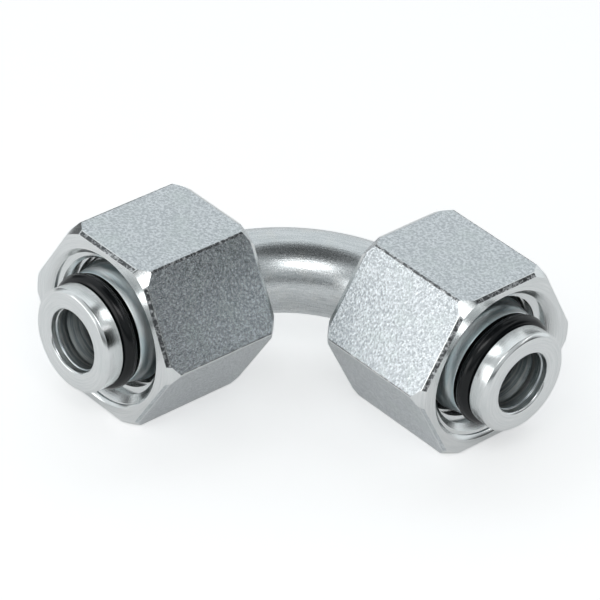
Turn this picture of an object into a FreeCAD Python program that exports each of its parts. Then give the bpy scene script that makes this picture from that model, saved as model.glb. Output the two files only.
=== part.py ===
import FreeCAD, Part
import Sketcher
import math
import os
import re

# Right-angle tube elbow with two cone-and-O-ring noses, each held by a free-turning hexagon nut.
# Frame: the part lies with one flat of each nut on Z = 0. Leg A points along -Y and leg B along +X.
# X = Y = 0 is the middle of the whole part's footprint.

doc = FreeCAD.newDocument("TubeElbow")

# Driving dimensions in millimetres and degrees. Depths on a leg are measured back from the nose tip
# for the nipple and back from the front face for the nut.
sizes = {
    # the bent tube
    "tubeOuterDia": 10.3,
    "tubeWall": 1.5,
    "bendRadius": 18.0,
    "straightEnd": 7.0,
    # the swivel nut's thread and what follows it inside
    "threadMajorDia": 18.0,
    "threadPitch": 1.5,
    "minorDropPerPitch": 1.0825,
    "entryStep": 0.9,
    "threadDepth": 10.0,
    "reliefStep": 0.2,
    "reliefWidth": 1.4,
    "seatLand": 0.5,
    "rearHoleChamfer": 0.3,
    # the swivel nut's outside
    "nutWall": 2.0,
    "nutLength": 16.9,
    "frontOver": 0.7,
    "frontChamferAngle": 58.0,
    "rearOver": 0.5,
    "rearChamferAngle": 50.0,
    # the nipple: shoulder, sealing cone, O-ring groove and nose
    "noseProjection": 4.45,
    "shoulderClearance": 0.34,
    "shoulderStep": 0.33,
    "seatClearance": 0.3,
    "neckClearance": 0.3,
    "coneHalfAngle": 12.0,
    "coneLength": 2.9,
    "coneStep": 0.4,
    "grooveDepth": 1.25,
    "grooveSideClearance": 0.2,
    "noseLand": 2.4,
    "noseChamfer": 0.35,
    # the flow bore of the nipple and the socket for the tube's end
    "boreStep": 0.3,
    "mouthStep": 0.6,
    "mouthDepth": 2.5,
    "mouthChamfer": 0.2,
    "socketDepth": 6.0,
    "socketClearance": 0.05,
    "socketWall": 0.55,
    # the O-ring
    "ringSection": 1.9,
    "ringClearance": 0.02,
}

sheet = doc.addObject("Spreadsheet::Sheet", "Sizes")
for row, (name, size) in enumerate(sizes.items(), start=1):
    sheet.set(f"A{row}", name)
    sheet.set(f"B{row}", str(size))
    sheet.setAlias(f"B{row}", name)
doc.recompute()

# Lengths that follow from the driving dimensions.
follows = {
    "tubeBoreDia": "(tubeOuterDia - 2 * tubeWall)",
    "threadMinorDia": "(threadMajorDia - minorDropPerPitch * threadPitch)",
    "threadEntryDia": "(threadMajorDia + 2 * entryStep)",
    "reliefDia": "(threadMajorDia + 2 * reliefStep)",
    "rearHoleDia": "(neckDia + 2 * neckClearance)",
    "seatStart": "(threadDepth + reliefWidth + seatLand)",
    "seatEnd": "(seatStart + (threadMinorDia - rearHoleDia) / 2)",
    "nutAcrossFlats": "(threadMajorDia + 2 * nutWall)",
    "nutCornerRadius": "(nutAcrossFlats / sqrt(3))",
    "frontChamferDia": "(nutAcrossFlats + 2 * frontOver)",
    "rearChamferDia": "(nutAcrossFlats + 2 * rearOver)",
    "socketDia": "(tubeOuterDia + 2 * socketClearance)",
    "neckDia": "(socketDia + 2 * socketWall)",
    "flowBoreDia": "(tubeBoreDia - 2 * boreStep)",
    "mouthDia": "(flowBoreDia + 2 * mouthStep)",
    "shoulderDia": "(threadMinorDia - 2 * shoulderClearance)",
    "coneEndRadius": "(shoulderDia / 2 - shoulderStep)",
    "coneStartRadius": "(coneEndRadius - coneLength * tan(coneHalfAngle))",
    "noseRadius": "(coneStartRadius - coneStep)",
    "grooveFloorRadius": "(noseRadius - grooveDepth)",
    "grooveWidth": "(ringSection + 2 * grooveSideClearance)",
    "grooveEnd": "(noseLand + grooveWidth)",
    "coneEnd": "(grooveEnd + coneLength)",
    "shoulderStart": "(coneEnd + shoulderStep)",
    "shoulderEnd": "(noseProjection + seatStart + shoulderClearance - seatClearance * sqrt(2))",
    "nippleLength": "(shoulderEnd + (shoulderDia - neckDia) / 2)",
    "ringRadius": "(grooveFloorRadius + ringClearance + ringSection / 2)",
    "ringPlace": "(noseLand + grooveWidth / 2)",
    "tubeEnd": "(bendRadius + straightEnd)",
    "tipReach": "(tubeEnd - socketDepth + nippleLength)",
    "nutFront": "(tipReach - noseProjection)",
    "crossOffset": "((tipReach - nutCornerRadius) / 2)",
    "crossHeight": "(nutAcrossFlats / 2)",
}


def formula(text):
    """Write a length in terms of the sheet's cells."""
    while True:
        longer = re.sub(r"[a-zA-Z]+", lambda word: follows.get(word.group(), word.group()), text)
        if longer == text:
            break
        text = longer
    return re.sub(
        r"[a-zA-Z]+",
        lambda word: f"Sizes.{word.group()}" if word.group() in sizes else word.group(),
        text,
    )


def length(text):
    """The present value of a length."""
    return float(sheet.evalExpression(formula(text)))


def plane(body, role):
    """One of the body's own origin planes."""
    return next(feature for feature in body.Origin.OriginFeatures if feature.Role == role)


def sketchOn(body, role, name):
    """An empty sketch on an origin plane of the body."""
    sketch = body.newObject("Sketcher::SketchObject", name)
    sketch.AttachmentSupport = [(plane(body, role), "")]
    sketch.MapMode = "FlatFace"
    return sketch


def place(sketch, index, end, corner):
    """Hold one end of a sketched curve at a corner given as two lengths, or on an axis where one is 0."""
    for kind, axis, text in zip(("DistanceX", "DistanceY"), (-2, -1), corner):
        if text == "0":
            sketch.addConstraint(Sketcher.Constraint("PointOnObject", index, end, axis))
        else:
            held = sketch.addConstraint(Sketcher.Constraint(kind, -1, 1, index, end, length(text)))
            sketch.setExpression(f"Constraints[{held}]", formula(text))


def outline(sketch, corners):
    """A closed outline of straight lines, each corner held by two lengths."""
    points = [FreeCAD.Vector(length(across), length(along), 0) for across, along in corners]
    count = len(points)
    for index in range(count):
        sketch.addGeometry(Part.LineSegment(points[index], points[(index + 1) % count]), False)
    for index in range(count):
        sketch.addConstraint(Sketcher.Constraint("Coincident", index, 2, (index + 1) % count, 1))
        place(sketch, index, 1, corners[index])


def circle(sketch, diameter):
    """A circle about the sketch's origin."""
    index = sketch.addGeometry(
        Part.Circle(FreeCAD.Vector(0, 0, 0), FreeCAD.Vector(0, 0, 1), length(diameter) / 2), False
    )
    sketch.addConstraint(Sketcher.Constraint("Coincident", index, 3, -1, 1))
    held = sketch.addConstraint(Sketcher.Constraint("Diameter", index, length(diameter)))
    sketch.setExpression(f"Constraints[{held}]", formula(diameter))


def turned(body, kind, name, corners):
    """Turn an outline of (radius, height) corners about the body's own Z axis."""
    sketch = sketchOn(body, "XZ_Plane", f"{name}Outline")
    outline(sketch, corners)
    feature = body.newObject(kind, name)
    feature.Profile = sketch
    feature.ReferenceAxis = (sketch, ["V_Axis"])
    feature.Angle = 360
    return feature


def setOnLeg(body, leg, reach):
    """Put a body's Z axis on a leg, with its origin at a reach from the crossing of the two legs."""
    turn = {
        "a": FreeCAD.Matrix(0, -1, 0, 0, 0, 0, -1, 0, 1, 0, 0, 0, 0, 0, 0, 1),
        "b": FreeCAD.Matrix(0, 0, 1, 0, 0, -1, 0, 0, 1, 0, 0, 0, 0, 0, 0, 1),
    }
    spot = {
        "a": {"x": "-crossOffset", "y": f"crossOffset - {reach}", "z": "crossHeight"},
        "b": {"x": f"{reach} - crossOffset", "y": "crossOffset", "z": "crossHeight"},
    }
    body.Placement = FreeCAD.Placement(turn[leg])
    for axis, text in spot[leg].items():
        body.setExpression(f"Placement.Base.{axis}", formula(text))


def makeTube():
    """The bent tube: a ring swept along straight, arc, straight."""
    body = doc.addObject("PartDesign::Body", "elbow_tube")
    route = sketchOn(body, "XY_Plane", "Centreline")
    bend, end = length("bendRadius"), length("tubeEnd")
    bendCircle = Part.Circle(FreeCAD.Vector(bend, -bend, 0), FreeCAD.Vector(0, 0, 1), bend)
    arc = Part.ArcOfCircle(bendCircle, math.pi / 2, math.pi)
    route.addGeometry(Part.LineSegment(FreeCAD.Vector(0, -end, 0), FreeCAD.Vector(0, -bend, 0)), False)
    route.addGeometry(arc, False)
    route.addGeometry(Part.LineSegment(FreeCAD.Vector(bend, 0, 0), FreeCAD.Vector(end, 0, 0)), False)
    route.addConstraint(Sketcher.Constraint("Coincident", 0, 2, 1, 2))
    route.addConstraint(Sketcher.Constraint("Coincident", 1, 1, 2, 1))
    place(route, 0, 1, ("0", "-tubeEnd"))
    place(route, 0, 2, ("0", "-bendRadius"))
    place(route, 2, 1, ("bendRadius", "0"))
    place(route, 2, 2, ("tubeEnd", "0"))
    held = route.addConstraint(Sketcher.Constraint("Radius", 1, bend))
    route.setExpression(f"Constraints[{held}]", formula("bendRadius"))

    ring = sketchOn(body, "XZ_Plane", "Section")
    circle(ring, "tubeOuterDia")
    circle(ring, "tubeBoreDia")
    ring.setExpression("AttachmentOffset.Base.z", formula("tubeEnd"))

    sweep = body.newObject("PartDesign::AdditivePipe", "BentTube")
    sweep.Profile = ring
    sweep.Spine = (route, ["Edge1", "Edge2", "Edge3"])
    for axis, text in (("x", "-crossOffset"), ("y", "crossOffset"), ("z", "crossHeight")):
        body.setExpression(f"Placement.Base.{axis}", formula(text))
    return body


def makeNipple(leg):
    """The turned nose: land, O-ring groove, sealing cone, shoulder, 45 degree back and bores."""
    body = doc.addObject("PartDesign::Body", f"nipple_{leg}")
    turned(body, "PartDesign::Revolution", "Turning", [
        ("0", "0"),
        ("noseRadius - noseChamfer", "0"),
        ("noseRadius", "-noseChamfer"),
        ("noseRadius", "-ringPlace"),
        ("coneStartRadius", "-ringPlace"),
        ("coneStartRadius", "-grooveEnd"),
        ("coneEndRadius", "-coneEnd"),
        ("shoulderDia / 2", "-shoulderStart"),
        ("shoulderDia / 2", "-shoulderEnd"),
        ("neckDia / 2", "-nippleLength"),
        ("0", "-nippleLength"),
    ])
    turned(body, "PartDesign::Groove", "RingGroove", [
        ("grooveFloorRadius", "-noseLand"),
        ("shoulderDia / 2", "-noseLand"),
        ("shoulderDia / 2", "-grooveEnd"),
        ("grooveFloorRadius", "-grooveEnd"),
    ])
    turned(body, "PartDesign::Groove", "FlowBore", [
        ("0", "0"),
        ("mouthDia / 2 + mouthChamfer", "0"),
        ("mouthDia / 2", "-mouthChamfer"),
        ("mouthDia / 2", "-mouthDepth"),
        ("flowBoreDia / 2", "-mouthDepth"),
        ("flowBoreDia / 2", "-nippleLength"),
        ("0", "-nippleLength"),
    ])
    turned(body, "PartDesign::Groove", "TubeSocket", [
        ("0", "-nippleLength"),
        ("0", "-(nippleLength - socketDepth)"),
        ("socketDia / 2", "-(nippleLength - socketDepth)"),
        ("socketDia / 2", "-nippleLength"),
    ])
    setOnLeg(body, leg, "tipReach")
    return body


def makeRing(leg):
    """The O-ring, resting on the floor of its groove."""
    ring = doc.addObject("Part::Torus", f"oring_{leg}")
    ring.setExpression("Radius1", formula("ringRadius"))
    ring.setExpression("Radius2", formula("ringSection / 2"))
    setOnLeg(ring, leg, "(tipReach - ringPlace)")
    return ring


def makeNut(leg):
    """The swivel nut: hexagon with turned corners, thread bore, relief, 45 degree seat, rear hole."""
    body = doc.addObject("PartDesign::Body", f"swivel_nut_{leg}")
    hexagon = sketchOn(body, "XY_Plane", "Hexagon")
    outline(hexagon, [
        (f"nutCornerRadius * cos({angle})", f"nutCornerRadius * sin({angle})")
        for angle in (30, 90, 150, 210, 270, 330)
    ])
    block = body.newObject("PartDesign::Pad", "Block")
    block.Profile = hexagon
    block.Reversed = True
    block.setExpression("Length", formula("nutLength"))

    turned(body, "PartDesign::Groove", "FrontCorners", [
        ("frontChamferDia / 2", "0"),
        ("nutAcrossFlats", "0"),
        ("nutAcrossFlats", "-(nutAcrossFlats - frontChamferDia / 2) * tan(frontChamferAngle)"),
    ])
    turned(body, "PartDesign::Groove", "RearCorners", [
        ("rearChamferDia / 2", "-nutLength"),
        ("nutAcrossFlats", "-nutLength + (nutAcrossFlats - rearChamferDia / 2) * tan(rearChamferAngle)"),
        ("nutAcrossFlats", "-nutLength"),
    ])
    turned(body, "PartDesign::Groove", "ThreadBore", [
        ("0", "0"),
        ("threadEntryDia / 2", "0"),
        ("threadMinorDia / 2", "-(threadEntryDia - threadMinorDia) / 2"),
        ("threadMinorDia / 2", "-seatStart"),
        ("rearHoleDia / 2", "-seatEnd"),
        ("rearHoleDia / 2", "-(nutLength - rearHoleChamfer)"),
        ("rearHoleDia / 2 + rearHoleChamfer", "-nutLength"),
        ("0", "-nutLength"),
    ])
    turned(body, "PartDesign::Groove", "ThreadRelief", [
        ("rearHoleDia / 2", "-threadDepth"),
        ("reliefDia / 2", "-threadDepth"),
        ("reliefDia / 2", "-(threadDepth + reliefWidth)"),
        ("rearHoleDia / 2", "-(threadDepth + reliefWidth)"),
    ])
    setOnLeg(body, leg, "nutFront")
    return body


subParts = [makeTube()]
for leg in ("a", "b"):
    subParts += [makeNipple(leg), makeRing(leg), makeNut(leg)]
doc.recompute()

for item in doc.Objects:
    if "Invalid" in item.State or "Error" in item.State:
        raise RuntimeError(f"{item.Name} did not compute: {item.State}")
for subPart in subParts:
    if subPart.Shape.isNull() or not subPart.Shape.isValid():
        raise RuntimeError(f"{subPart.Label} has no valid shape")

os.makedirs("parts", exist_ok=True)
for subPart in subParts:
    subPart.Shape.exportStep(f"parts/{subPart.Label}.step")
    box = subPart.Shape.optimalBoundingBox()
    print(
        f"{subPart.Label}: {subPart.Shape.Volume:.1f} mm3, X {box.XMin:.2f} to {box.XMax:.2f},"
        f" Y {box.YMin:.2f} to {box.YMax:.2f}, Z {box.ZMin:.2f} to {box.ZMax:.2f}"
    )
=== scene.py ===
import math

import bmesh
import bpy
from mathutils import Matrix, Vector


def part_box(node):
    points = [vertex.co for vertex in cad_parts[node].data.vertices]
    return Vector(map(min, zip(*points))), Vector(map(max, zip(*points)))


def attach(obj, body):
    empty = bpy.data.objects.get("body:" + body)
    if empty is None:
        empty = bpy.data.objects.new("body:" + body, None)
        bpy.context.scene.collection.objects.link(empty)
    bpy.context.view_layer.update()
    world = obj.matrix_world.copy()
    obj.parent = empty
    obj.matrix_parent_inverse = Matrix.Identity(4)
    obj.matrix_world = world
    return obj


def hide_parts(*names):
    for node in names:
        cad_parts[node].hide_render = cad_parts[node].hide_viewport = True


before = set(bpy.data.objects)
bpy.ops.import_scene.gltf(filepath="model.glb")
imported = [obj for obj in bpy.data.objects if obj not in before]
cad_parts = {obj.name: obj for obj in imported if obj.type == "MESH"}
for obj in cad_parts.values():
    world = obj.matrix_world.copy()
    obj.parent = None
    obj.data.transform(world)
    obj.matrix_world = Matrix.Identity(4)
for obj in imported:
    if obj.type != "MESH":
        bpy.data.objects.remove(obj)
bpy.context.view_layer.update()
mm = 0.001
hair = 0.01 * mm        # vertices this near a place are taken to be at it
speck = 0.001 * mm      # vertices nearer to each other than this are merged
print("frame loaded")

# the two legs of the elbow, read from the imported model
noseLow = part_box("nipple_a")[0]
nutLow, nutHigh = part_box("swivel_nut_a")
axisX = (nutLow.x + nutHigh.x) / 2        # leg A runs along -Y at this X
axisZ = (nutLow.z + nutHigh.z) / 2        # height of both legs
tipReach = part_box("nipple_b")[1].x - axisX    # from the crossing of the legs to a nose tip
axisY = noseLow.y + tipReach              # leg B runs along +X at this Y
nutReach = axisY - nutLow.y               # from the crossing to a nut's front face
crossing = Vector((axisX, axisY, axisZ))

# local +Z points out of the leg and local +X points up
legTurn = {
    "a": Matrix(((0, -1, 0), (0, 0, -1), (1, 0, 0))).to_4x4(),
    "b": Matrix(((0, 0, 1), (0, -1, 0), (1, 0, 0))).to_4x4(),
}


def addPiece(name, addPrimitive, **settings):
    # alone, because an operator acts on all that is selected
    bpy.ops.object.select_all(action="DESELECT")
    addPrimitive(**settings)
    piece = bpy.context.object
    piece.name = piece.data.name = name
    return piece


def pick(piece):
    bpy.ops.object.select_all(action="DESELECT")
    piece.select_set(True)
    bpy.context.view_layer.objects.active = piece


def edit(piece):
    pick(piece)
    bpy.ops.object.mode_set(mode="EDIT")


def leaveEdit():
    bpy.ops.object.mode_set(mode="OBJECT")


def choose(piece, kind, test):
    # selects the vertices, edges or faces whose middle and direction pass the test
    bpy.ops.mesh.select_mode(type={"verts": "VERT", "edges": "EDGE", "faces": "FACE"}[kind])
    bpy.ops.mesh.select_all(action="DESELECT")
    mesh = bmesh.from_edit_mesh(piece.data)
    for item in getattr(mesh, kind):
        if kind == "verts":
            item.select_set(test(item.co))
        elif kind == "edges":
            start, end = (corner.co for corner in item.verts)
            item.select_set(test((start + end) / 2, (end - start).normalized()))
        else:
            item.select_set(test(item.calc_center_median(), item.normal))
    mesh.select_flush_mode()
    bmesh.update_edit_mesh(piece.data)


def applyModifier(piece, kind, **settings):
    pick(piece)
    modifier = piece.modifiers.new(kind.title(), kind)
    for name, value in settings.items():
        setattr(modifier, name, value)
    bpy.ops.object.modifier_apply(modifier=modifier.name)


def cutWith(piece, tool, operation):
    applyModifier(
        piece, "BOOLEAN", operation=operation, object=tool, solver="EXACT",
        material_mode="TRANSFER",
    )
    bpy.data.objects.remove(tool)


def mergeDoubles(distance):
    # in edit mode: merges what lies together and points the faces outwards
    bpy.ops.mesh.select_all(action="SELECT")
    bpy.ops.mesh.remove_doubles(threshold=distance)
    bpy.ops.mesh.normals_make_consistent(inside=False)


def smooth(piece, degrees):
    pick(piece)
    bpy.ops.object.shade_smooth_by_angle(angle=math.radians(degrees))
    applyModifier(piece, "WEIGHTED_NORMAL", keep_sharp=True)


def drawProfile(name, corners):
    # one vertex, extruded along a half section of (radius, height) corners in mm
    piece = addPiece(name, bpy.ops.mesh.primitive_plane_add, size=mm, location=(0, 0, 0))
    edit(piece)
    bpy.ops.mesh.select_mode(type="VERT")
    bpy.ops.mesh.select_all(action="SELECT")
    bpy.ops.mesh.merge(type="CENTER")
    at = Vector((corners[0][0] * mm, 0, corners[0][1] * mm))
    bpy.ops.transform.translate(value=at)
    for radius, height in corners[1:]:
        to = Vector((radius * mm, 0, height * mm))
        bpy.ops.mesh.extrude_vertices_move(TRANSFORM_OT_translate={"value": to - at})
        at = to
    return piece


def turnProfile(name, corners, steps, closed=False, rounding=None):
    # spins a half section about Z; rounding is the radius in mm and the segments of its corners
    piece = drawProfile(name, corners)
    if closed:
        ends = [
            Vector((radius * mm, 0, height * mm)) for radius, height in (corners[0], corners[-1])
        ]
        choose(piece, "verts", lambda spot: min((spot - end).length for end in ends) < hair)
        bpy.ops.mesh.edge_face_add()
    bpy.ops.mesh.select_all(action="SELECT")
    if rounding:
        size, segments = rounding
        choose(piece, "verts", lambda spot: spot.x > hair)
        bpy.ops.mesh.bevel(
            affect="VERTICES", offset=size * mm, segments=segments, clamp_overlap=True
        )
        bpy.ops.mesh.select_all(action="SELECT")
    bpy.ops.mesh.spin(steps=steps, angle=2 * math.pi, center=(0, 0, 0), axis=(0, 0, 1))
    mergeDoubles(speck)
    leaveEdit()
    return piece


def setOnLeg(piece, leg, reach):
    # places a piece made about Z on its leg and bakes the place into the mesh
    outward = legTurn[leg] @ Vector((0, 0, 1))
    piece.matrix_world = Matrix.Translation(crossing + outward * reach) @ legTurn[leg]
    pick(piece)
    bpy.ops.object.transform_apply(location=True, rotation=True, scale=True)


def copyPiece(piece, name):
    pick(piece)
    bpy.ops.object.duplicate(linked=False)
    twin = bpy.context.object
    twin.name = twin.data.name = name
    return twin


class Wire:
    # an output socket, so that shader maths reads as plain sums
    def __init__(self, graph, socket):
        self.graph = graph
        self.socket = socket

    def math(self, operation, *others):
        return self.graph.math(operation, self, *others)

    def __add__(self, other):
        return self.math("ADD", other)

    def __sub__(self, other):
        return self.math("SUBTRACT", other)

    def __mul__(self, other):
        return self.math("MULTIPLY", other)

    def __truediv__(self, other):
        return self.math("DIVIDE", other)

    def __pow__(self, other):
        return self.math("POWER", other)

    def __radd__(self, other):
        return self.graph.math("ADD", other, self)

    def __rsub__(self, other):
        return self.graph.math("SUBTRACT", other, self)

    def __rmul__(self, other):
        return self.graph.math("MULTIPLY", other, self)

    def __rtruediv__(self, other):
        return self.graph.math("DIVIDE", other, self)

    def between(self, low, high, toLow=0.0, toHigh=1.0):
        # eases from toLow to toHigh while the value goes from low to high
        return self.graph.node("ShaderNodeMapRange", {"interpolation_type": "SMOOTHSTEP"}, {
            "Value": self, "From Min": low, "From Max": high, "To Min": toLow, "To Max": toHigh,
        })


class Graph:
    # a node tree, to which every node is added in the same way
    def __init__(self, tree):
        self.tree = tree
        tree.nodes.clear()

    def node(self, kind, settings, inputs, output=0):
        made = self.tree.nodes.new(kind)
        for name, value in settings.items():
            setattr(made, name, value)
        for name, value in inputs.items():
            if isinstance(value, Wire):
                self.tree.links.new(value.socket, made.inputs[name])
            else:
                made.inputs[name].default_value = value
        return Wire(self, made.outputs[output]) if made.outputs else None

    def math(self, operation, *values):
        return self.node("ShaderNodeMath", {"operation": operation}, dict(enumerate(values)))

    def vector(self, x, y, z):
        return self.node("ShaderNodeCombineXYZ", {}, {0: x, 1: y, 2: z})

    def split(self, vector):
        return [self.node("ShaderNodeSeparateXYZ", {}, {0: vector}, axis) for axis in range(3)]

    def dot(self, vector, direction):
        settings = {"operation": "DOT_PRODUCT"}
        return self.node("ShaderNodeVectorMath", settings, {0: vector, 1: direction}, "Value")

    def mixColour(self, share, first, second):
        # sockets 6 and 7 are the two colours, and output 2 is the mixed one
        first, second = (c if isinstance(c, Wire) else (*c, 1.0) for c in (first, second))
        inputs = {0: share, 6: first, 7: second}
        return self.node("ShaderNodeMix", {"data_type": "RGBA"}, inputs, 2)

    def noise(self, vector, scale, detail, roughness):
        inputs = {"Vector": vector, "Scale": scale, "Detail": detail, "Roughness": roughness}
        return self.node("ShaderNodeTexNoise", {}, inputs)

    def bump(self, height, strength, depth, normal=None):
        # depth is in mm
        inputs = {"Height": height, "Strength": strength, "Distance": depth * mm}
        if normal:
            inputs["Normal"] = normal
        return self.node("ShaderNodeBump", {}, inputs)

    def objectPlace(self):
        return self.node("ShaderNodeTexCoord", {}, {}, "Object")

    def ray(self, kind):
        return self.node("ShaderNodeLightPath", {}, {}, kind)

    def principled(self, **inputs):
        named = {name.replace("_", " "): value for name, value in inputs.items()}
        shader = self.node("ShaderNodeBsdfPrincipled", {}, named)
        self.node("ShaderNodeOutputMaterial", {}, {"Surface": shader})


def newMaterial(name):
    material = bpy.data.materials.new(name)
    material.use_nodes = True
    return material, Graph(material.node_tree)


def legPlace(graph, leg):
    # distance from the leg's axis, distance out along it, and the direction round it, in mm
    x, y, z = graph.split(graph.objectPlace())
    up = (z - axisZ) / mm
    side = (x - axisX) / mm if leg == "a" else (y - axisY) / mm
    along = (axisY - y) / mm if leg == "a" else (x - axisX) / mm
    radius = (up * up + side * side) ** 0.5
    return radius, along, up, side


def legNoise(graph, place, scales, detail, roughness):
    # noise with one scale along the leg and another across it
    radius, along, up, side = place
    lengthwise, across = scales
    stretched = graph.vector(along * lengthwise, up * across, side * across)
    return graph.noise(stretched, 1.0, detail, roughness)


def roughBy(finish, mask):
    # the finish's least roughness, and what the mask adds to it
    least, added = finish["roughness"]
    return least + mask * added


def metal(graph, finish, colour, mask, normal):
    rough = roughBy(finish, mask)
    graph.principled(Base_Color=colour, Metallic=1.0, Roughness=rough, Normal=normal)


print("tools ready")


# In each finish a noise has its scale, detail and roughness, and a scale of two numbers is along
# and across the leg. A span is where a noise starts and ends to show. A bump has its strength and
# depth in mm, and roughness is the least and what is added to it.

# the blasted skin of the flats
blasted = {
    "dark": (0.48, 0.51, 0.53),
    "light": (0.75, 0.78, 0.80),
    "tint": (0.60, 0.66, 0.64),
    "tintShare": 0.35,
    "grain": (2900.0, 3.0, 0.65),
    "grainSpan": (0.38, 0.63),
    "patch": (260.0, 2.0, 0.5),
    "patchSpan": (0.45, 0.75),
    "bump": (1.0, 0.115),
    "roughness": (0.09, 0.07),
}


def blastedZinc(leg):
    material, graph = newMaterial(f"blastedZinc{leg.upper()}")
    place = graph.objectPlace()
    grain = graph.noise(place, *blasted["grain"])
    patch = graph.noise(place, *blasted["patch"])
    speckle = grain.between(*blasted["grainSpan"])
    stain = patch.between(*blasted["patchSpan"]) * blasted["tintShare"]
    colour = graph.mixColour(speckle, blasted["dark"], blasted["light"])
    colour = graph.mixColour(stain, colour, blasted["tint"])
    normal = graph.bump(grain, *blasted["bump"])
    metal(graph, blasted, colour, speckle, normal)
    return material


# the nuts' ends and the noses, as the lathe left them
turned = {
    "base": (0.89, 0.90, 0.90),
    "line": (0.78, 0.80, 0.80),
    "teal": (0.76, 0.83, 0.82),
    "tealShare": 0.3,
    "ringScale": (9.0, 0.25),       # from ring to ring, and on a ring's way round
    "ring": (1.0, 3.0, 0.6),
    "ringSpan": (0.3, 0.7),
    "patch": (180.0, 2.0, 0.5),
    "patchSpan": (0.5, 0.8),
    "bump": (1.0, 0.005),
    "roughness": (0.12, 0.14),
}


def turnedZinc(leg):
    material, graph = newMaterial(f"turnedZinc{leg.upper()}")
    radius, along, up, side = legPlace(graph, leg)
    quick, slow = turned["ringScale"]
    sweep = graph.vector((radius + along) * quick, up * slow, side * slow)
    rings = graph.noise(sweep, *turned["ring"])
    patch = graph.noise(graph.objectPlace(), *turned["patch"])
    film = patch.between(*turned["patchSpan"]) * turned["tealShare"]
    colour = graph.mixColour(rings.between(*turned["ringSpan"]), turned["line"], turned["base"])
    colour = graph.mixColour(film, colour, turned["teal"])
    normal = graph.bump(rings, *turned["bump"])
    metal(graph, turned, colour, rings, normal)
    return material


# the smooth sealing cone, blue-green from the passivation
seat = {
    "base": (0.68, 0.79, 0.82),
    "light": (0.92, 0.95, 0.96),
    "film": ((1.2, 0.25), 2.0, 0.5),
    "filmSpan": (0.35, 0.65),
    "rings": ((8.0, 0.3), 2.0, 0.5),
    "bump": (0.5, 0.004),
    "roughness": (0.26, 0.1),
}


def seatZinc(leg):
    material, graph = newMaterial(f"seatZinc{leg.upper()}")
    place = legPlace(graph, leg)
    film = legNoise(graph, place, *seat["film"])
    rings = legNoise(graph, place, *seat["rings"])
    colour = graph.mixColour(film.between(*seat["filmSpan"]), seat["base"], seat["light"])
    normal = graph.bump(rings, *seat["bump"])
    metal(graph, seat, colour, film, normal)
    return material


# drilled and reamed steel, where little of the plating reached
bore = {
    "dark": (0.46, 0.50, 0.52),
    "light": (0.90, 0.90, 0.88),
    "rings": ((3.2, 0.12), 3.0, 0.7),
    "ringSpan": (0.40, 0.66),
    "bump": (1.0, 0.02),
    "roughness": (0.22, 0.14),
}


def boreZinc(leg):
    material, graph = newMaterial(f"boreZinc{leg.upper()}")
    rings = legNoise(graph, legPlace(graph, leg), *bore["rings"])
    colour = graph.mixColour(rings.between(*bore["ringSpan"]), bore["dark"], bore["light"])
    normal = graph.bump(rings, *bore["bump"])
    metal(graph, bore, colour, rings, normal)
    return material


# the struck edges of the flats: real dents, with a painted reflection, dark and bright by turns
wearAndReflection = {
    # dark is a painted dark reflection, and light a painted highlight
    "dark": (0.12, 0.125, 0.13),
    "light": (0.90, 0.91, 0.92),
    "dentsAndReflection": ((1.9, 1.9), 4.0, 0.75),
    # leg B's edges are painted brighter than leg A's, for how the light falls on each
    "brightSpan": {"a": (0.47, 0.70), "b": (0.43, 0.66)},
    "bump": (1.0, 0.05),
    "roughness": (0.22, 0.1),
}


def edgeWearAndReflection(leg):
    material, graph = newMaterial(f"edgeWearAndReflection{leg.upper()}")
    dentsAndReflection = legNoise(graph, legPlace(graph, leg), *wearAndReflection["dentsAndReflection"])
    # painted reflection: the noise splits the edge into painted dark and painted bright
    bright = dentsAndReflection.between(*wearAndReflection["brightSpan"][leg])
    colour = graph.mixColour(bright, wearAndReflection["dark"], wearAndReflection["light"])
    normal = graph.bump(dentsAndReflection, *wearAndReflection["bump"])
    metal(graph, wearAndReflection, colour, dentsAndReflection, normal)
    return material


# the cut thread, with painted shade in its roots
thread = {
    "base": (0.90, 0.91, 0.91),
    # dark is the painted shade of the thread's roots
    "dark": (0.26, 0.29, 0.30),
    "rootShadeSpan": (8.25, 9.0),       # radius of the bright crest, and of the dark root
    "chatter": ((6.0, 2.0), 2.0, 0.5),
    "bump": (1.0, 0.004),
    "roughness": (0.18, 0.15),
}


def threadZinc(leg):
    material, graph = newMaterial(f"threadZinc{leg.upper()}")
    place = legPlace(graph, leg)
    chatter = legNoise(graph, place, *thread["chatter"])
    # painted shade: darker from the crest out to the root
    depth = place[0].between(*thread["rootShadeSpan"])
    colour = graph.mixColour(depth, thread["base"], thread["dark"])
    normal = graph.bump(chatter, *thread["bump"])
    metal(graph, thread, colour, chatter, normal)
    return material


# the drawn and bent tube
drawn = {
    "base": (0.74, 0.76, 0.77),
    "dull": (0.56, 0.59, 0.60),
    "warm": (0.80, 0.79, 0.75),
    "warmShare": 0.4,
    "streakScale": (0.35, 5.0),     # along the tube, and across it
    "streaks": (1.0, 3.0, 0.6),
    "streakShare": 0.6,             # of the mottle; the grain makes the rest
    "grain": (5.0, 3.0, 0.65),
    "brightSpan": (0.35, 0.62),
    "patch": (0.35, 2.0, 0.5),
    "patchSpan": (0.5, 0.8),
    "streakBump": (1.0, 0.010),
    "grainBump": (1.0, 0.012),
    "roughness": (0.16, 0.2),
}


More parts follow.
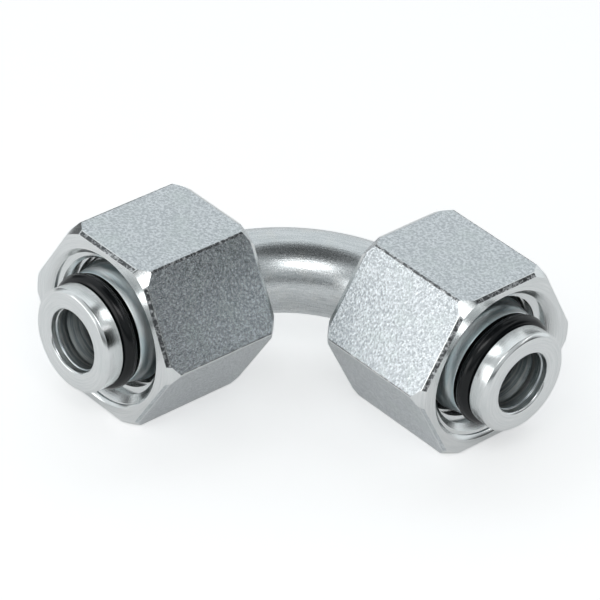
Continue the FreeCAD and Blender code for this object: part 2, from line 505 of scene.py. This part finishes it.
def drawnZinc(bend):
    # bend is the radius of the tube's bend in mm, round which the streaks run
    material, graph = newMaterial("drawnZinc")
    x, y, z = graph.split(graph.objectPlace())
    inX = (axisX / mm + bend) - x / mm      # from the bend's centre towards leg A
    inY = y / mm - (axisY / mm - bend)      # from the bend's centre towards leg B
    turnX, turnY = inX.math("MAXIMUM", 0.0), inY.math("MAXIMUM", 0.0)
    run = turnY.math("ARCTAN2", turnX) * bend + inY.math("MINIMUM", 0.0) - inX.math("MINIMUM", 0.0)
    out = (turnX * turnX + turnY * turnY) ** 0.5 - bend
    up = (z - axisZ) / mm
    lengthwise, across = drawn["streakScale"]
    place = graph.vector(run, out, up)
    stretched = graph.vector(run * lengthwise, out * across, up * across)
    streaks = graph.noise(stretched, *drawn["streaks"])
    grain = graph.noise(place, *drawn["grain"])
    patch = graph.noise(place, *drawn["patch"])
    share = drawn["streakShare"]
    bright = (streaks * share + grain * (1 - share)).between(*drawn["brightSpan"])
    colour = graph.mixColour(bright, drawn["dull"], drawn["base"])
    warmth = patch.between(*drawn["patchSpan"]) * drawn["warmShare"]
    colour = graph.mixColour(warmth, colour, drawn["warm"])
    normal = graph.bump(streaks, *drawn["streakBump"])
    normal = graph.bump(grain, *drawn["grainBump"], normal)
    metal(graph, drawn, colour, grain, normal)
    return material


# the O-rings
rubber = {
    "black": (0.005, 0.006, 0.007),
    "dusty": (0.02, 0.022, 0.024),
    "dust": (900.0, 3.0, 0.6),
    "dustSpan": (0.55, 0.8),
    "dustShare": 0.5,
    "bump": (0.4, 0.006),
    "roughness": (0.14, 0.12),
    "specular": 0.32,
}


def sealRubber():
    material, graph = newMaterial("sealRubber")
    dust = graph.noise(graph.objectPlace(), *rubber["dust"])
    dusty = dust.between(*rubber["dustSpan"]) * rubber["dustShare"]
    colour = graph.mixColour(dusty, rubber["black"], rubber["dusty"])
    normal = graph.bump(dust, *rubber["bump"])
    graph.principled(
        Base_Color=colour, Roughness=roughBy(rubber, dust), Normal=normal,
        Specular_IOR_Level=rubber["specular"],
    )
    return material


finishes = {
    leg: {
        "blasted": blastedZinc(leg),
        "turned": turnedZinc(leg),
        "thread": threadZinc(leg),
        "wearAndReflection": edgeWearAndReflection(leg),
        "seat": seatZinc(leg),
        "bore": boreZinc(leg),
    }
    for leg in ("a", "b")
}
print("finishes ready")


def coat(piece, *materials):
    piece.data.materials.clear()
    for material in materials:
        piece.data.materials.append(material)


def coatAs(piece, *names):
    coat(piece, *(finishes["a"][name] for name in names))


def recoat(twin, *names):
    # the copy on leg B takes that leg's finishes, slot by slot
    for index, name in enumerate(names):
        twin.data.materials[index] = finishes["b"][name]


def paintFaces(piece, slot, test):
    # in edit mode: gives the faces that pass the test another slot of the piece
    choose(piece, "faces", test)
    piece.active_material_index = slot
    bpy.ops.object.material_slot_assign()


# the swivel nuts
nut = {
    "slots": ("blasted", "turned", "thread", "wearAndReflection"),
    "acrossFlats": 22.0,
    "length": 16.9,
    "longEdge": 0.2,
    "longEdgeSegments": 3,
    # breaks of the flats' end edges: front (1) or rear (-1), width across and along, and slot
    "bands": ((1, 0.04, 0.10, 1), (1, 0.25, 0.46, 3), (-1, 0.03, 0.16, 1), (-1, 0.36, 0.60, 1)),
    "turningShare": 0.62,           # how far out the corners are turned, by the flats' width
    "frontCircle": 23.4,
    "frontSlope": 58.0,
    "rearCircle": 23.0,
    "rearSlope": 50.0,
    "entryDia": 19.8,
    "entryBreak": (0.06, 0.03),     # how far the struck front edge goes outwards and inwards
    "entryEdge": (19.0, 0.50),      # where the short entry chamfer ends, diameter and depth
    "entryDepth": 1.95,
    "minorDia": 16.376,
    "rootDia": 19.3,
    "rootCorner": (0.04, 0.02),     # what its corners lose across and along
    "toothFoot": 0.19,              # how far the cutting tooth's foot stands inside the crests
    "pitch": 1.5,
    "grooveShare": 0.92,
    "threadDepth": 10.0,
    "threadRunOut": 0.9,            # how far the tooth is screwed past both ends of the thread
    "threadSteps": 96,
    "reliefDia": 18.4,
    "reliefWidth": 1.4,
    "reliefCorner": (0.15, 0.05, 0.2),      # its height, and where it starts and ends
    "seatLand": 0.5,
    "rearHoleDia": 12.1,
    "rearHoleChamfer": 0.3,
    "turningSteps": 144,
    "tapMerge": 0.0005,
    "weld": 0.002,
    "turnedFrom": 0.9,              # a normal's share along the leg that makes a face turned
    "smoothAngle": 24,
}

# a direction's share along the leg: below the first it is across, above the second along
crosswise, endwise = 0.2, 0.99


def hexBlock():
    length = nut["length"]
    corner = nut["acrossFlats"] / math.sqrt(3)
    front, rear = (sum(band[2] for band in nut["bands"] if band[0] == sign) for sign in (1, -1))
    depth = length - front - rear
    block = addPiece(
        "hexNutA", bpy.ops.mesh.primitive_cylinder_add, vertices=6, radius=corner * mm,
        depth=depth * mm, location=(0, 0, -(front + depth / 2) * mm),
    )
    bpy.ops.object.transform_apply(location=True, rotation=True, scale=True)
    coatAs(block, *nut["slots"])
    turnedSlot, wearAndReflectionSlot = nut["slots"].index("turned"), nut["slots"].index("wearAndReflection")
    edit(block)
    choose(block, "edges", lambda middle, along: abs(along.z) > endwise)
    bpy.ops.mesh.bevel(
        offset=nut["longEdge"] * mm, segments=nut["longEdgeSegments"], affect="EDGES"
    )
    # the long breaks are painted by height: the painted dark and bright edge reflection on the
    # upper half, and the bright turned finish below
    limit = (nut["acrossFlats"] / 2 + corner) / 2 * mm
    for slot, lowest in ((turnedSlot, -corner * mm), (wearAndReflectionSlot, 0)):
        paintFaces(block, slot, lambda middle, normal: (
            abs(normal.z) < crosswise and middle.xy.length > limit and middle.x > lowest
        ))
    level = {1: -front * mm, -1: (rear - length) * mm}
    # the front band in the edge reflection slot gets that painted reflection on its upper half
    # only
    for sign, across, along, slot in nut["bands"]:
        choose(block, "faces", lambda middle, normal: normal.z * sign > endwise)
        bpy.ops.mesh.inset(thickness=across * mm, depth=0)
        bpy.ops.transform.translate(value=(0, 0, sign * along * mm))
        paintFaces(block, slot, lambda middle, normal: (
            sign * (middle.z - level[sign]) > 0 and crosswise < sign * normal.z < endwise
            and (slot != wearAndReflectionSlot or middle.x > 0)
        ))
        level[sign] += sign * along * mm
    leaveEdit()
    return block


def cornerTurning():
    # what the lathe leaves of the corners at both ends
    outer, length = nut["acrossFlats"] * nut["turningShare"], nut["length"]
    front, rear = nut["frontCircle"] / 2, nut["rearCircle"] / 2
    frontDrop = (outer - front) * math.tan(math.radians(nut["frontSlope"]))
    rearDrop = (outer - rear) * math.tan(math.radians(nut["rearSlope"]))
    return turnProfile("cornerTurning", [
        (0, 0),
        (front, 0),
        (outer, -frontDrop),
        (outer, rearDrop - length),
        (rear, -length),
        (0, -length),
    ], nut["turningSteps"])


def nutCore():
    # the room inside the nut, a little longer than the nut at both ends
    entry, minor, relief = nut["entryDia"] / 2, nut["minorDia"] / 2, nut["reliefDia"] / 2
    hole, chamfer, length = nut["rearHoleDia"] / 2, nut["rearHoleChamfer"], nut["length"]
    breakOut, breakIn = nut["entryBreak"]
    edgeDia, edgeDepth = nut["entryEdge"]
    rise, near, far = nut["reliefCorner"]
    reliefStart = nut["threadDepth"]
    reliefEnd = reliefStart + nut["reliefWidth"]
    seatStart = reliefEnd + nut["seatLand"]
    over, flare = 0.5, 0.15     # how far the core stands out at both ends, and widens in front
    return turnProfile("nutCore", [
        (0, over),
        (entry + breakOut + flare, over),
        (entry + breakOut, 0),
        (entry - breakIn, -breakOut),
        (edgeDia / 2, -edgeDepth),
        (minor, -nut["entryDepth"]),
        (minor, -reliefStart),
        (relief - rise, -reliefStart - near),
        (relief, -reliefStart - far),
        (relief, -reliefEnd + far),
        (relief - rise, -reliefEnd + near),
        (minor, -reliefEnd),
        (minor, -seatStart),
        (hole, -seatStart - (minor - hole)),
        (hole, -length + chamfer),
        (hole + chamfer, -length),
        (hole + chamfer + over, -length - over),
        (0, -length - over),
    ], nut["turningSteps"])


def threadTap():
    # one closed tooth, screwed up the nut from the relief to above the front face
    minor, root, pitch = nut["minorDia"] / 2, nut["rootDia"] / 2, nut["pitch"]
    foot = minor - nut["toothFoot"]
    inward, along = nut["rootCorner"]
    crest = pitch / 8
    flank = (pitch * nut["grooveShare"] - crest) / 2
    start = -(nut["threadDepth"] + nut["threadRunOut"])
    turns = math.ceil((nut["threadRunOut"] - start) / pitch)
    tap = drawProfile("threadTap", [(radius, start + rise) for radius, rise in (
        (foot, 0),
        (root - inward, flank - along),
        (root, flank + along),
        (root, flank + crest - along),
        (root - inward, flank + crest + along),
        (foot, 2 * flank + crest),
    )])
    choose(tap, "verts", lambda spot: spot.x < foot * mm + hair)
    bpy.ops.mesh.edge_face_add()
    leaveEdit()
    applyModifier(
        tap, "SCREW", angle=2 * math.pi, screw_offset=pitch * mm, iterations=turns, axis="Z",
        steps=nut["threadSteps"], render_steps=nut["threadSteps"], use_merge_vertices=False,
    )
    edit(tap)
    bpy.ops.mesh.select_all(action="SELECT")
    bpy.ops.mesh.remove_doubles(threshold=nut["tapMerge"] * mm)
    bpy.ops.mesh.fill_holes(sides=0)
    bpy.ops.mesh.select_all(action="SELECT")
    bpy.ops.mesh.normals_make_consistent(inside=False)
    leaveEdit()
    return tap


def makeNut():
    block = hexBlock()
    turning = cornerTurning()
    coatAs(turning, "turned", "blasted")
    edit(turning)
    paintFaces(turning, 1, lambda middle, normal: middle.z < -nut["length"] / 2 * mm)
    leaveEdit()
    cutWith(block, turning, "INTERSECT")
    core = nutCore()
    coatAs(core, "turned")
    cutWith(block, core, "DIFFERENCE")
    tap = threadTap()
    coatAs(tap, "thread")
    cutWith(block, tap, "DIFFERENCE")
    edit(block)
    mergeDoubles(nut["weld"] * mm)
    # both ends and the thread's flanks are turned, while the flats keep the blasted skin
    paintFaces(block, nut["slots"].index("turned"), lambda middle, normal: (
        abs(normal.z) > nut["turnedFrom"]
    ))
    leaveEdit()
    smooth(block, nut["smoothAngle"])
    return block


nutA = makeNut()
nutB = copyPiece(nutA, "hexNutB")
recoat(nutB, *nut["slots"])
for piece, leg in ((nutA, "a"), (nutB, "b")):
    setOnLeg(piece, leg, nutReach)
    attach(piece, f"nut_{leg}")
    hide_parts(f"swivel_nut_{leg}")
print("nuts made", [m.name for m in nutA.data.materials], len(nutA.data.polygons))


# the nipples with the cone noses, in radii and in depths from the tip
nipple = {
    "slots": ("turned", "seat", "bore"),
    "noseRadius": 6.502,
    "noseChamfer": 0.35,
    "noseLand": 2.4,
    "grooveFloor": 5.252,
    "grooveEnd": 4.7,
    "coneStart": 6.902,
    "coneEndRadius": 7.518,
    "coneEnd": 7.6,
    "shoulder": 7.848,
    "shoulderStart": 7.93,
    "shoulderEnd": 16.266,
    "neck": 5.75,
    "length": 18.364,
    "socket": 5.2,
    "socketDepth": 6.0,
    "bore": 3.35,
    "mouth": 3.95,
    "mouthDepth": 2.5,
    "mouthChamfer": 0.2,
    "mouthTaper": 2.1,
    "step": 0.15,
    "stepDepth": 1.0,
    "boreFinishFrom": 0.3,
    "rounding": (0.07, 3),
    "around": 128,
    "smoothAngle": 35,
}


def makeNipple():
    n = nipple
    floor = n["length"] - n["socketDepth"]
    piece = turnProfile("noseA", [
        (n["mouth"] + n["mouthChamfer"], 0),
        (n["noseRadius"] - n["noseChamfer"], 0),
        (n["noseRadius"], -n["noseChamfer"]),
        (n["noseRadius"], -n["noseLand"]),
        (n["grooveFloor"], -n["noseLand"]),
        (n["grooveFloor"], -n["grooveEnd"]),
        (n["coneStart"], -n["grooveEnd"]),
        (n["coneEndRadius"], -n["coneEnd"]),
        (n["shoulder"], -n["shoulderStart"]),
        (n["shoulder"], -n["shoulderEnd"]),
        (n["neck"], -n["length"]),
        (n["socket"], -n["length"]),
        (n["socket"], -floor),
        (n["bore"], -floor),
        (n["bore"], -n["mouthDepth"] - n["mouthTaper"]),
        (n["mouth"] - n["step"], -n["mouthDepth"]),
        (n["mouth"] - n["step"], -n["stepDepth"]),
        (n["mouth"], -n["stepDepth"] + n["step"] / 2),
        (n["mouth"], -n["mouthChamfer"]),
    ], n["around"], closed=True, rounding=n["rounding"])
    coatAs(piece, *n["slots"])
    edit(piece)
    paintFaces(piece, n["slots"].index("seat"), lambda middle, normal: (
        middle.xy.length > n["noseRadius"] * mm
        and -n["coneEnd"] * mm < middle.z < -n["grooveEnd"] * mm
    ))
    paintFaces(piece, n["slots"].index("bore"), lambda middle, normal: (
        middle.xy.length < n["mouth"] * mm and middle.z < -n["boreFinishFrom"] * mm
    ))
    leaveEdit()
    smooth(piece, n["smoothAngle"])
    return piece


noseA = makeNipple()
noseB = copyPiece(noseA, "noseB")
recoat(noseB, *nipple["slots"])
for piece, leg in ((noseA, "a"), (noseB, "b")):
    setOnLeg(piece, leg, tipReach)
    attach(piece, "elbow")
    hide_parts(f"nipple_{leg}")
print("nipples made", len(noseA.data.polygons))


# the O-rings; place is the depth of their middle from the nose's tip
seal = {
    "radius": 6.222,
    "section": 0.95,
    "place": 3.55,
    "flash": 0.03,
    "flashWidth": 0.05,
    "flashSegments": 2,
    "around": 128,
    "across": 32,
    "smoothAngle": 60,
}


def makeSeal():
    piece = addPiece(
        "sealRingA", bpy.ops.mesh.primitive_torus_add,
        major_radius=seal["radius"] * mm, minor_radius=seal["section"] * mm,
        major_segments=seal["around"], minor_segments=seal["across"],
    )

    def onFlash(spot):
        return abs(spot.z) < hair and spot.xy.length > seal["radius"] * mm

    # the mould's flash line stands proud round the outside
    edit(piece)
    choose(piece, "verts", onFlash)
    bpy.ops.mesh.bevel(
        offset=seal["flashWidth"] * mm, segments=seal["flashSegments"], affect="EDGES"
    )
    choose(piece, "verts", onFlash)
    grown = 1 + seal["flash"] / (seal["radius"] + seal["section"])
    bpy.ops.transform.resize(value=(grown, grown, 1))
    leaveEdit()
    coat(piece, sealRubber())
    smooth(piece, seal["smoothAngle"])
    return piece


sealA = makeSeal()
sealB = copyPiece(sealA, "sealRingB")
for piece, leg in ((sealA, "a"), (sealB, "b")):
    setOnLeg(piece, leg, tipReach - seal["place"] * mm)
    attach(piece, "elbow")
    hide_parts(f"oring_{leg}")
print("seals made")


# the bent tube; end is how far it reaches from the crossing of the legs
tube = {
    "outer": 5.15,
    "wall": 1.5,
    "bend": 18.0,
    "end": 25.0,
    "around": 96,
    "bendSteps": 72,
    "smoothAngle": 40,
}


def makeTube():
    bend, end = tube["bend"] * mm, tube["end"] * mm
    piece = addPiece(
        "bentTube", bpy.ops.mesh.primitive_circle_add,
        vertices=tube["around"], radius=tube["outer"] * mm,
        location=(axisX, axisY - end, axisZ), rotation=(math.pi / 2, 0, 0),
    )
    bpy.ops.object.transform_apply(location=True, rotation=True, scale=True)
    edit(piece)
    bpy.ops.mesh.select_all(action="SELECT")
    bpy.ops.mesh.extrude_edges_move(TRANSFORM_OT_translate={"value": (0, end - bend, 0)})
    centre = (axisX + bend, axisY - bend, axisZ)
    bpy.ops.mesh.spin(steps=tube["bendSteps"], angle=math.pi / 2, center=centre, axis=(0, 0, 1))
    bpy.ops.mesh.extrude_edges_move(TRANSFORM_OT_translate={"value": (end - bend, 0, 0)})
    mergeDoubles(speck)
    leaveEdit()
    applyModifier(piece, "SOLIDIFY", thickness=tube["wall"] * mm, offset=-1, use_rim=True)
    coat(piece, drawnZinc(tube["bend"]))
    smooth(piece, tube["smoothAngle"])
    return piece


bentTube = makeTube()
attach(bentTube, "elbow")
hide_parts("elbow_tube")
print("tube made", len(bentTube.data.polygons))


# the floor, the light and the room that the metal mirrors
studio = {
    "floorSize": 6.0,
    "floorDrop": 0.02,              # mm below the part, so that the two don't flicker
    "floorColour": (0.86, 0.86, 0.86),
    "floorShown": 0.46,             # added for the camera alone, so that the paper is white
    "floorGlow": 0.14,              # added for what the metal mirrors
    "skyColour": (0.93, 0.98, 1.0),
    # how bright each part of the room is
    "nearWall": 0.50,
    "backWall": 0.86,
    "ceiling": 0.07,
    "cove": 0.25,                   # brighter, where the back wall meets the ceiling
    "dado": 0.75,                   # darker, on the near wall just above the table
    # where each starts and is full: a height goes from 0, level, to 1, overhead, and a turn
    # from -1, behind the camera, to 1, behind the part
    "backwards": (-0.707, 0.707, 0),
    "wallTurn": (-0.4, 0.5),
    "ceilingHeight": (0.87, 0.95),
    "coveHeight": (0.78, 0.87),
    "coveTurn": (0.0, 0.3),
    "dadoFoot": (0.03, 0.09),
    "dadoTop": (0.19, 0.28),
    "dadoTurn": (-0.55, -0.80),
    # direction, where the dark begins and is full (as cosines), and how bright it stays
    "darkPlaces": (
        ((0.80, 0.58, 0.15), 0.84, 0.955, 0.0),
        ((0.20, 0.58, 0.79), 0.95, 0.985, 0.10),
        ((-0.985, 0.08, 0.14), 0.90, 0.97, 0.12),
    ),
    # azimuth and elevation in degrees, distance and size in metres, and radiance
    "lamps": {
        "leftBox": (-108, 16, 0.42, (0.42, 0.22), 1.3),
        "backStrip": (45, 36, 0.50, (0.26, 0.04), 1.2),
        "frontBox": (-45, 52, 0.50, (0.32, 0.16), 2.6),
    },
}


def makeFloor():
    floor = addPiece(
        "floor", bpy.ops.mesh.primitive_plane_add,
        size=studio["floorSize"], location=(0, 0, -studio["floorDrop"] * mm),
    )
    material, graph = newMaterial("paleFloor")
    camera, glossy = graph.ray("Is Camera Ray"), graph.ray("Is Glossy Ray")
    shown = camera * studio["floorShown"] + glossy * studio["floorGlow"]
    matte = graph.node("ShaderNodeBsdfDiffuse", {}, {"Color": (*studio["floorColour"], 1.0)})
    glow = graph.node("ShaderNodeEmission", {}, {"Strength": shown})
    both = graph.node("ShaderNodeAddShader", {}, {0: matte, 1: glow})
    graph.node("ShaderNodeOutputMaterial", {}, {"Surface": both})
    coat(floor, material)


def makeWorld():
    world = bpy.data.worlds.new("studio")
    world.use_nodes = True
    bpy.context.scene.world = world
    graph = Graph(world.node_tree)
    direction = graph.node("ShaderNodeTexCoord", {}, {}, "Generated")
    height = graph.dot(direction, (0, 0, 1))
    turn = graph.dot(direction, studio["backwards"])
    wall = turn.between(*studio["wallTurn"], studio["nearWall"], studio["backWall"])
    cove = height.between(*studio["coveHeight"]) * turn.between(*studio["coveTurn"])
    wall = wall + cove * studio["cove"]
    low = height.between(*studio["dadoFoot"]) * (1 - height.between(*studio["dadoTop"]))
    wall = wall * (1 - low * turn.between(*studio["dadoTurn"]) * studio["dado"])
    high = height.between(*studio["ceilingHeight"])
    level = wall * (1 - high) + high * studio["ceiling"]
    for place, edge, full, left in studio["darkPlaces"]:
        dark = graph.dot(direction, place).between(edge, full)
        level = level * (1 - dark) + dark * left
    camera = graph.ray("Is Camera Ray")
    strength = level * (1 - camera) + camera
    colour = graph.mixColour(camera, studio["skyColour"], (1.0, 1.0, 1.0))
    back = graph.node("ShaderNodeBackground", {}, {"Color": colour, "Strength": strength})
    graph.node("ShaderNodeOutputWorld", {}, {"Surface": back})


def makeLamp(name, azimuth, elevation, distance, size, radiance):
    # a soft box that faces the elbow; the radiance is what a mirror would show of it
    a, e = math.radians(azimuth), math.radians(elevation)
    out = Vector((math.cos(a) * math.cos(e), math.sin(a) * math.cos(e), math.sin(e)))
    data = bpy.data.lights.new(name, "AREA")
    data.shape = "RECTANGLE"
    data.size, data.size_y = size
    data.energy = radiance * math.pi * size[0] * size[1]
    lamp = bpy.data.objects.new(name, data)
    lamp.location = Vector((0, 0, axisZ)) + out * distance
    lamp.rotation_euler = (-out).to_track_quat("-Z", "Y").to_euler()
    lamp.visible_camera = False
    bpy.context.scene.collection.objects.link(lamp)


# the photo's camera, fitted to the corners of both nuts
view = {
    "azimuth": 44.794,
    "elevation": 34.773,
    "roll": 5.426,
    "unit": 22.0,                   # mm; the next three are in these
    "shiftX": -0.0483,
    "shiftY": -0.3506,
    "distance": 22.618,
    "focal": 4093.35,               # in pixels of the image's width
    "imageWidth": 600.0,
    "sensor": 36.0,
    "clip": (0.05, 20.0),
}


def makeCamera():
    a, e, r = (math.radians(view[key]) for key in ("azimuth", "elevation", "roll"))
    back = Vector((math.sin(a) * math.cos(e), -math.cos(a) * math.cos(e), math.sin(e)))
    right = Vector((math.cos(a), math.sin(a), 0))
    up = back.cross(right)
    rightRolled = right * math.cos(r) + up * math.sin(r)
    upRolled = up * math.cos(r) - right * math.sin(r)
    offset = rightRolled * view["shiftX"] + upRolled * view["shiftY"] + back * view["distance"]
    data = bpy.data.cameras.new("camera")
    data.sensor_width = view["sensor"]
    data.lens = view["focal"] / view["imageWidth"] * view["sensor"]
    data.clip_start, data.clip_end = view["clip"]
    camera = bpy.data.objects.new("camera", data)
    camera.matrix_world = Matrix.Translation(crossing + offset * view["unit"] * mm) @ Matrix(
        (rightRolled, upRolled, back)
    ).transposed().to_4x4()
    bpy.context.scene.collection.objects.link(camera)
    bpy.context.scene.camera = camera


makeFloor()
makeWorld()
for name, settings in studio["lamps"].items():
    makeLamp(name, *settings)
makeCamera()
bpy.context.scene.view_settings.view_transform = "Standard"
print("stage ready")
